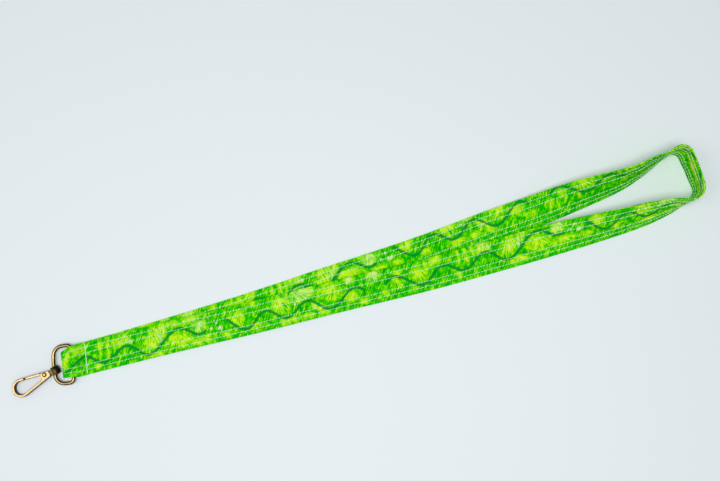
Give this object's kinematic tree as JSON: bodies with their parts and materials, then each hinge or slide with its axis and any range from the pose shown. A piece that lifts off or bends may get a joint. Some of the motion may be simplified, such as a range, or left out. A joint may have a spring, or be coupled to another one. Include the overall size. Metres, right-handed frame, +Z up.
{
  "type": "fabric neck lanyard",
  "caption": "Flat printed-cotton neck strap, folded round a D-ring and stitched across, with a swivel snap hook for hanging a badge holder, keys or an ID card.",
  "frame": {"origin": "on the table under the middle of the whole object as it lies flat", "axes": "+X along the strap from the snap hook to the neck end of the loop, +Y across the strap, +Z up from the table"},
  "size_m": [0.5576, 0.0528, 0.0256],
  "materials": {
    "cotton_print": "bright green hand-printed cotton, plain weave, matt",
    "interfacing": "white woven interfacing, matt",
    "white_thread": "white sewing thread, slight sheen",
    "antique_brass": "antique brass plate, dark in the recesses and rubbed bright on the faces and edges",
    "spring_steel": "drawn spring wire"
  },
  "bodies": {
    "strap": {"strap_front_leg": "cotton_print", "strap_back_leg": "cotton_print", "strap_neck_end": "cotton_print", "strap_ring_fold": "cotton_print", "interfacing_front_leg": "interfacing", "interfacing_back_leg": "interfacing", "interfacing_neck": "interfacing", "interfacing_fold": "interfacing", "topstitch_row_1": "white_thread", "topstitch_row_2": "white_thread", "topstitch_row_3": "white_thread", "topstitch_row_4": "white_thread", "cross_stitch": "white_thread"},
    "ring": {"d_ring": "antique_brass"},
    "eye": {"swivel_eye": "antique_brass"},
    "hook": {"hook_body": "antique_brass", "gate_rivet": "antique_brass", "gate_spring": "spring_steel"},
    "gate": {"gate": "antique_brass"}
  },
  "joints": [
    {"name": "ring_swing", "type": "hinge", "parent": "strap", "child": "ring", "pos_m": [-0.2288, -0.0059, 0.004], "axis": [0.1392, 0.9903, 0], "range_deg": [-90, 90]},
    {"name": "eye_swing", "type": "hinge", "parent": "ring", "child": "eye", "pos_m": [-0.24386, -0.00772, 0.004], "axis": [0.0686, 0.9976, 0], "range_deg": [-90, 90]},
    {"name": "hook_swivel", "type": "hinge", "parent": "eye", "child": "hook", "pos_m": [-0.24327, -0.0076, 0.00403], "axis": [0.9785, 0.2009, 0.0459], "continuous": true},
    {"name": "gate_open", "type": "hinge", "parent": "hook", "child": "gate", "pos_m": [-0.25146, -0.00846, 0.00365], "axis": [-0.045, -0.0092, 0.9989], "range_deg": [0, 28], "stiffness_Nm_per_rad": 0.012, "springref_deg": -20.05}
  ]
}
